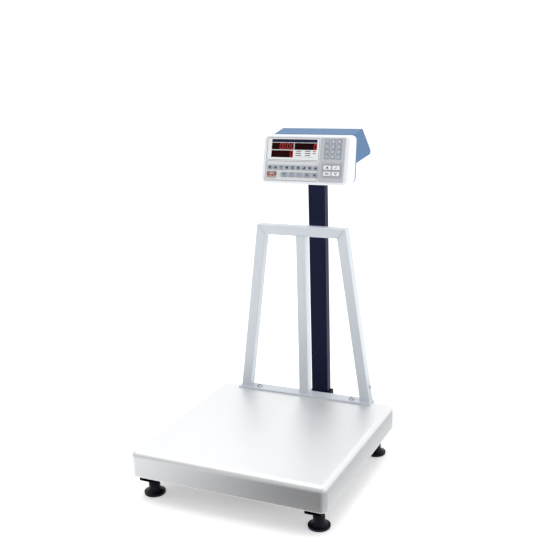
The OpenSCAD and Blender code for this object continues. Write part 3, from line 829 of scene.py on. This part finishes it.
class SCALE_OT_keypad(bpy.types.Operator):
    """Prints the overlay's panels and finishes the keys and their marks"""

    bl_idname = "scale.keypad"
    bl_label = "Keypad"

    def execute(self, context):
        soften("keypad_overlay", "overlay_sheet", 0)
        for key in KEYS:
            finish = "white_keys" if key.startswith("command") else "grey_keys"
            soften(key, finish, 0.0003)
        self.panels()
        self.marks()
        return {"FINISHED"}

    def panels(self):
        """Printed grounds and outlines, in layers that follow the sheet's edge."""
        ink = sizes().ink
        low, high = node_on_face("keypad_overlay")
        pane_low, pane_high = node_on_face("display_filter")
        numbers = block_box("number_key_")
        commands = block_box("command_key_")
        surround, rim, border, half_gap, side_gap, pad = 0.006, 0.0004, 0.0008, 0.0012, 0.0018, 0.0055
        split = pane_high.x + surround
        shelf = pane_low.z - surround
        right = (split, low.z + rim, high.x - rim, high.z - rim)
        self.ground("panel_print", right, "panel_ink", 0, 0.003)
        self.ground("number_block_print", grown(numbers, pad), "number_block", ink, 0.002)
        self.ground("command_block_print", grown(commands, pad), "block_ink", ink, 0.002)
        display = (low.x + border, shelf + half_gap, split - side_gap, high.z - border)
        function = (low.x + border, low.z + border, split - side_gap, shelf - half_gap)
        self.ground("function_panel_print", function, "function_ink", 0, 0.004)
        bm = bmesh.new()
        for edge in (display, function):
            self.outline(bm, edge, 0.0009)
        panel_piece("panel_outlines", bm, "outline_ink")

    def ground(self, name, edge, finish, layer, radius):
        """One printed rectangle with the keys' holes left out."""
        ink = sizes().ink
        flange, corner, reach = 0.0004, 0.002, 0.001
        x0, z0, x1, z1 = edge
        bm = bmesh.new()
        plate(bm, FACE, round_bar(edge, radius, 5), -layer - ink, -layer)
        cutters = bmesh.new()
        for key in KEYS:
            key_edge = node_edge(key)
            if x0 < key_edge[0] < x1 and z0 < key_edge[1] < z1:
                plate(cutters, FACE, round_bar(grown(key_edge, -flange), corner, 5), -reach, reach)
        mesh = cut(mesh_from(name, bm), cutters)
        new_piece(name, mesh, finish, "indicator")

    def outline(self, bm, edge, line):
        corner = 0.004
        inner = round_bar(grown(edge, -line), corner - line, 6)
        ring_plate(bm, FACE, round_bar(edge, corner, 6), inner, -2 * sizes().ink, 0)

    def marks(self):
        """Digits on the number keys and small signs on the others, each riding on its own key."""
        for key in KEYS:
            low, high = node_on_face(key)
            centre = (low + high) / 2
            at = FACE @ Matrix.Translation((centre.x, low.y, centre.z))
            family, number = key.rsplit("_", 1)
            number = int(number)
            bm = bmesh.new()
            if family == "number_key":
                draw_digit(bm, at, NUMBER_PAD[number - 1], 0.0052)
                finish = "white_ink"
            else:
                draw_sign(bm, at, SIGNS[family][number - 1], min(high.z - low.z, 0.0095) * 0.36)
                finish = "dark_ink_and_recess_shade"
            name = key.replace("_key_", "_mark_")
            new_piece(name, mesh_from(name, bm), finish, key)


# Order of the marks on the number keys, and of the small signs on the other keys
NUMBER_PAD = "789456123.0C"
SIGNS = {
    "function_key": ["disc", "peak", "dots", "square", "rungs", "disc", "step", "disc", "peak"],
    "option_key": ["arch", "minus", "minus", "rungs", "peak"],
    "command_key": ["peak", "slash", "bars", "dots"],
}
# The strokes of a digit: top, upper left, upper right, middle, lower left, lower right, foot
SEGMENTS = {
    "0": (0, 1, 2, 4, 5, 6),
    "1": (2, 5),
    "2": (0, 2, 3, 4, 6),
    "3": (0, 2, 3, 5, 6),
    "4": (1, 2, 3, 5),
    "5": (0, 1, 3, 5, 6),
    "6": (0, 1, 3, 4, 5, 6),
    "7": (0, 2, 5),
    "8": (0, 1, 2, 3, 4, 5, 6),
    "9": (0, 1, 2, 3, 5, 6),
    "C": (0, 1, 4, 6),
}


def block_box(prefix):
    """[x0, z0, x1, z1] round all keys whose names start with the prefix."""
    x0, z0, x1, z1 = zip(*(node_edge(key) for key in KEYS if key.startswith(prefix)))
    return (min(x0), min(z0), max(x1), max(z1))


def stroke_shapes(width, height, weight):
    """The seven strokes of a digit as outlines with pointed ends, in the order of SEGMENTS."""
    w, h, t = width / 2, height / 2, weight / 2
    gap = weight * 0.12

    def across(z):
        a, b = w - gap, w - t - gap
        return [(-a, z), (-b, z + t), (b, z + t), (a, z), (b, z - t), (-b, z - t)]

    def upright(x, z0, z1):
        z0, z1 = z0 + gap, z1 - gap
        return [(x, z0), (x + t, z0 + t), (x + t, z1 - t), (x, z1), (x - t, z1 - t), (x - t, z0 + t)]

    upper = [across(h), upright(-w, 0, h), upright(w, 0, h)]
    return upper + [across(0), upright(-w, -h, 0), upright(w, -h, 0), across(-h)]


def draw_digit(bm, matrix, digit, height, weight=0.0011):
    """Draws one seven-stroke digit on a surface whose outside is -Y."""
    ink = sizes().ink
    if digit == ".":
        plate(bm, matrix, circle(0.0009, 16), -ink, 0)
        return
    shapes = stroke_shapes(height * 0.55, height - weight, weight)
    for index in SEGMENTS[digit]:
        plate(bm, matrix, shapes[index], -ink, 0)


def draw_sign(bm, matrix, sign, r):
    """Draws one plain sign about 2 r high."""
    ink = sizes().ink
    dots = ((-r * 0.6, r * 0.4), (r * 0.6, r * 0.4), (0, -r * 0.6))
    shapes = {
        "disc": [circle(r * 0.9, 20)],
        "square": [bar(-r * 0.9, -r * 0.8, r * 0.9, r * 0.8)],
        "peak": [[(-r * 1.3, -r * 0.7), (r * 1.3, -r * 0.7), (0, r)]],
        "dots": [circle(r * 0.42, 14, x, z) for x, z in dots],
        "rungs": [bar(-r * 1.2, z * r - r * 0.18, r * 1.2, z * r + r * 0.18) for z in (-0.7, 0, 0.7)],
        "step": [bar(-r, -r * 0.8, 0, 0), bar(0, -r * 0.8, r, r * 0.8)],
        "minus": [bar(-r * 0.9, -r * 0.18, r * 0.9, r * 0.18)],
        "slash": [[(-r * 0.9, -r * 0.8), (-r * 0.4, -r * 0.8), (r * 0.9, r * 0.8), (r * 0.4, r * 0.8)]],
        "bars": [bar(x * r - r * 0.2, -r * 0.7, x * r + r * 0.2, r * 0.7) for x in (-1.1, -0.4, 0.4, 1.1)],
        "arch": [bar(-r, -r * 0.9, -r * 0.5, r * 0.6), bar(r * 0.5, -r * 0.9, r, r * 0.6)]
        + [bar(-r, r * 0.6, r, r)],
    }
    for outline in shapes[sign]:
        plate(bm, matrix, outline, -ink, 0)


class SCALE_OT_display(bpy.types.Operator):
    """Sets the lit digits and dark segments behind the windows, the title bar and the legends"""

    bl_idname = "scale.display"
    bl_label = "Display"

    def execute(self, context):
        lit, unlit = bmesh.new(), bmesh.new()
        for window, reading in zip(self.windows(), ("0.000", "0", "0")):
            self.reading(lit, unlit, window, reading)
        panel_piece("lit_segments", lit, "lit_segment")
        panel_piece("dark_segments", unlit, "unlit_segment")
        self.title_bar()
        self.legends()
        self.badge()
        return {"FINISHED"}

    def windows(self):
        """The three number windows as [x0, z0, x1, z1]: two side by side and one below the left."""
        side, right_side, left_w, upper_foot, upper_h, lower_h = 0.0022, 0.0027, 0.0635, 0.0226, 0.018, 0.0186
        gap, lower_trim = 0.0012, 0.001
        low, high = node_on_face("display_filter")
        x0, x1 = low.x + side, high.x - right_side
        split = x0 + left_w
        foot = low.z + upper_foot
        under = low.z + side
        return [
            (x0, foot, split, foot + upper_h),
            (split + gap, foot, x1, foot + upper_h),
            (x0, under, split - lower_trim, under + lower_h),
        ]

    def reading(self, lit, unlit, window, text):
        """Right-aligned digits in a window, with the unused digit places left dark."""
        x0, z0, x1, z1 = window
        places, weight, dot_r, depth = 6, 0.001, 0.0008, 0.0001
        pitch = (x1 - x0) / places
        height = (z1 - z0) * 0.78
        digits = text.replace(".", "")
        dot_after = text.find(".")
        strokes = stroke_shapes(height * 0.42, height - weight, weight)
        dot = circle(dot_r, 12, pitch * 0.46, -height / 2 + dot_r)
        for place in range(places):
            x = x1 - pitch * (place + 0.5)
            at = FACE @ Matrix.Translation((x, OVERLAY_T, (z0 + z1) / 2))
            index = len(digits) - 1 - place
            shown = digits[index] if index >= 0 else ""
            lit_strokes = SEGMENTS[shown] if shown else ()
            for number, shape in enumerate(strokes):
                target = lit if number in lit_strokes else unlit
                plate(target, at, shape, -depth, 0)
            has_dot = shown and dot_after == index + 1
            plate(lit if has_dot else unlit, at, dot, -depth, 0)

    def title_bar(self):
        """The dark strip above the windows, behind its slot in the overlay."""
        inset, foot, depth = 0.0018, 0.0412, 0.0001
        low, high = node_on_face("display_filter")
        bm = bmesh.new()
        strip = bar(low.x + inset, low.z + foot, high.x - inset, high.z - inset)
        plate(bm, FACE, strip, OVERLAY_T - depth, OVERLAY_T)
        panel_piece("title_strip", bm, "bar_ink")

    def legends(self):
        """Rows of small marks beside the lower window, each a lamp dot and a plain bar."""
        windows = self.windows()
        x0 = windows[2][2] + 0.006
        top, foot = windows[1][1] - 0.0035, windows[2][1] + 0.0015
        row_pitch, lamp_r, bar_from, half_bar = 0.0055, 0.0007, 0.0022, 0.0011
        dash_pitch, dash, half_dash = 0.0042, 0.003, 0.0003
        ink = sizes().ink
        dark, red = bmesh.new(), bmesh.new()
        columns = ((0, 0.0145, 3, dark), (0.0265, 0.0135, 3, dark), (0.0475, 0.008, 2, red))
        for dx, width, rows, target in columns:
            x = x0 + dx
            for row in range(rows):
                z = top - row * row_pitch
                plate(target, FACE, circle(lamp_r, 12, x, z), -ink, 0)
                mark = bar(x + bar_from, z - half_bar, x + bar_from + width, z + half_bar)
                plate(target, FACE, mark, -ink, 0)
        for i in range(12):
            x = x0 + i * dash_pitch
            plate(dark, FACE, bar(x, foot - half_dash, x + dash, foot + half_dash), -ink, 0)
        panel_piece("legend_marks", dark, "outline_ink")
        panel_piece("red_legend_marks", red, "red_ink")

    def badge(self):
        """A plain red badge with a generic balance sign, and a soft orange band under it."""
        ink = sizes().ink
        left = node_on_face("keypad_overlay")[0].x
        options = block_box("option_key_")
        x0, x1 = left + 0.005, options[0] - 0.012
        z1 = options[3] + 0.001
        z0 = z1 - 0.0115
        x, z = (x0 + x1) / 2, (z0 + z1) / 2
        red, white, band = bmesh.new(), bmesh.new(), bmesh.new()
        plate(red, FACE, round_bar((x0, z0, x1, z1), 0.0012, 4), -ink, 0)
        beam, beam_foot, beam_top = 0.006, z + 0.0018, z + 0.0026
        post, post_foot = 0.0005, z - 0.003
        hang, dish, dish_floor, dish_h = 0.0048, 0.0022, 0.0012, 0.0014
        plate(white, FACE, bar(x - beam, beam_foot, x + beam, beam_top), -2 * ink, -ink)
        plate(white, FACE, bar(x - post, post_foot, x + post, beam_foot), -2 * ink, -ink)
        for c in (x - hang, x + hang):
            pan = [(c - dish, z), (c + dish, z), (c + dish_floor, z - dish_h), (c - dish_floor, z - dish_h)]
            plate(white, FACE, pan, -2 * ink, -ink)
        foot, top = z0 - 0.0070, z0 - 0.0004
        plate(band, FACE, bar(x0, foot, x1, top), -ink, 0)
        heights = [(FACE @ Vector((0, 0, end))).z for end in (foot, top)]
        band_mesh = mesh_from("badge_band", band)
        band_mesh.materials.append(
            shaded_badge("badge_band", colours().badge_foot, colours().overlay, *heights)
        )
        panel_piece("badge_ground", red, "badge_red")
        panel_piece("badge_sign", white, "white_ink")
        new_piece("badge_band", band_mesh, "badge_red", "indicator")


# ---------- stage ----------


class SCALE_OT_stage(bpy.types.Operator):
    """Sets the pale floor, the soft lights and the camera"""

    bl_idname = "scale.stage"
    bl_label = "Stage"

    def execute(self, context):
        self.floor()
        self.lights()
        self.cards()
        self.camera()
        return {"FINISHED"}

    def cards(self):
        """Two studio cards on the floor, seen only as reflections: one ahead, one to the right."""
        low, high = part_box("platform_pan")
        ahead = (low.x - 0.65, low.y - 3.0, high.x + 0.25, low.y - 0.05)
        beside = (high.x + 0.06, low.y - 1.3, high.x + 1.3, high.y + 0.6)
        self.card("dark_card", ahead, (0.95, 0.96, 0.98), (0.004, 0.002, 0.002))
        self.card("grey_card", beside, (0.40, 0.40, 0.41), (0.34, 0.35, 0.36))

    def card(self, name, edge, left, right):
        """A card [x0, y0, x1, y1] that fades from its left colour to its right one."""
        height, fade_shift, fade_width, ease = 0.002, 0.42, 0.50, 0.2
        finish = Finish(name, Roughness=0.95)
        across = finish.axes(finish.place())[0]
        ramp = finish.maths("MAXIMUM", (across + fade_shift) / fade_width, 0.0)
        fade = finish.maths("SMOOTH_MIN", ramp, 1.0, ease)
        finish.feed("Base Color", finish.mix(fade, opaque(left), opaque(right)))
        card = self.sheet(name, edge, height, finish)
        for ray in ("camera", "diffuse", "shadow", "transmission"):
            setattr(card, "visible_" + ray, False)

    def sheet(self, name, edge, height, finish):
        """A level rectangle [x0, y0, x1, y1] at a height."""
        bm = bmesh.new()
        bm.faces.new([bm.verts.new((x, y, height)) for x, y in bar(*edge)])
        mesh = mesh_from(name, bm)
        mesh.materials.append(finish.material)
        return placed(name, mesh)

    def floor(self):
        """A pale floor that reaches far out on all sides."""
        reach = 40.0
        finish = Finish("pale_floor", Roughness=0.9, Emission_Color=opaque(WHITE), Emission_Strength=0.40)
        cloud = finish.noise(0.8)
        finish.feed("Base Color", finish.mix(cloud, opaque(WHITE, 0.93), opaque(WHITE, 0.95)))
        floor = self.sheet("studio_floor", (-reach, -reach, reach, reach), 0, finish)

    def lights(self):
        """A white surround, brighter behind and above, with a large soft top light and a weak fill."""
        world = bpy.data.worlds.new("surround")
        bpy.context.scene.world = world
        world.use_nodes = True
        surround = Tree(world.node_tree, "Background")
        x, y, z = surround.axes(surround.node("ShaderNodeTexCoord", output=0))
        surround.shader.inputs["Color"].default_value = opaque(WHITE)
        surround.feed("Strength", 0.77 + 0.04 * x + 0.33 * y + 0.12 * z)
        aim = Vector((0, 0, 0.4))
        self.area("top_light", Vector((-0.4, 0.2, 4.0)), aim, 3.0, 56)
        self.area("side_light", Vector((3.4, 0.4, 1.6)), aim, 1.8, 6)

    def area(self, name, place, aim, size, power):
        light = bpy.data.lights.new(name, "AREA")
        light.shape = "DISK"
        light.size = size
        light.energy = power
        lamp = placed(name, light)
        lamp.location = place
        lamp.rotation_euler = (aim - place).to_track_quat("-Z", "Y").to_euler()

    def camera(self):
        """Looks down a little from the front right."""
        place, focal_length, sensor = (0.8961, -1.9686, 1.0412), 58.24, 36.0
        azimuth, elevation, roll = math.radians(24.938), math.radians(14.278), math.radians(-1.675)
        level_share = math.cos(elevation)
        forward = Vector(
            (-math.sin(azimuth) * level_share, math.cos(azimuth) * level_share, -math.sin(elevation))
        )
        level = forward.cross(Vector((0, 0, 1))).normalized()
        above = level.cross(forward)
        right = level * math.cos(roll) + above * math.sin(roll)
        up = above * math.cos(roll) - level * math.sin(roll)
        lens = bpy.data.cameras.new("camera")
        lens.sensor_width = sensor
        lens.lens = focal_length
        camera = placed("camera", lens)
        turn = Matrix((right, up, -forward)).transposed().to_4x4()
        camera.matrix_world = Matrix.Translation(place) @ turn
        bpy.context.scene.camera = camera
        bpy.context.scene.view_settings.view_transform = "Standard"


# ---------- add-on ----------


class SCALE_PT_panel(bpy.types.Panel):
    """Lists the steps of the bench scale's looks"""

    bl_idname = "SCALE_PT_panel"
    bl_label = "Bench Scale"
    bl_space_type = "VIEW_3D"
    bl_region_type = "UI"
    bl_category = "Bench Scale"

    def draw(self, context):
        for step in STEPS:
            self.layout.operator(step.bl_idname)
        for group in (sizes(), colours()):
            column = self.layout.column()
            for name in group.__annotations__:
                column.prop(group, name)


STEPS = (
    SCALE_OT_pan,
    SCALE_OT_guard,
    SCALE_OT_base,
    SCALE_OT_fasteners,
    SCALE_OT_feet,
    SCALE_OT_housing,
    SCALE_OT_keypad,
    SCALE_OT_display,
    SCALE_OT_stage,
)
CLASSES = (ScaleSizes, ScaleColours) + STEPS + (SCALE_PT_panel,)


def register():
    for cls in CLASSES:
        bpy.utils.register_class(cls)
    bpy.types.Scene.scale_sizes = PointerProperty(type=ScaleSizes)
    bpy.types.Scene.scale_colours = PointerProperty(type=ScaleColours)


def unregister():
    del bpy.types.Scene.scale_colours
    del bpy.types.Scene.scale_sizes
    for cls in reversed(CLASSES):
        bpy.utils.unregister_class(cls)


def main():
    """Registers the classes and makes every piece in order."""
    register()
    for step in STEPS:
        group, name = step.bl_idname.split(".")
        getattr(getattr(bpy.ops, group), name)()
    bpy.context.view_layer.update()


if __name__ == "__main__":
    main()
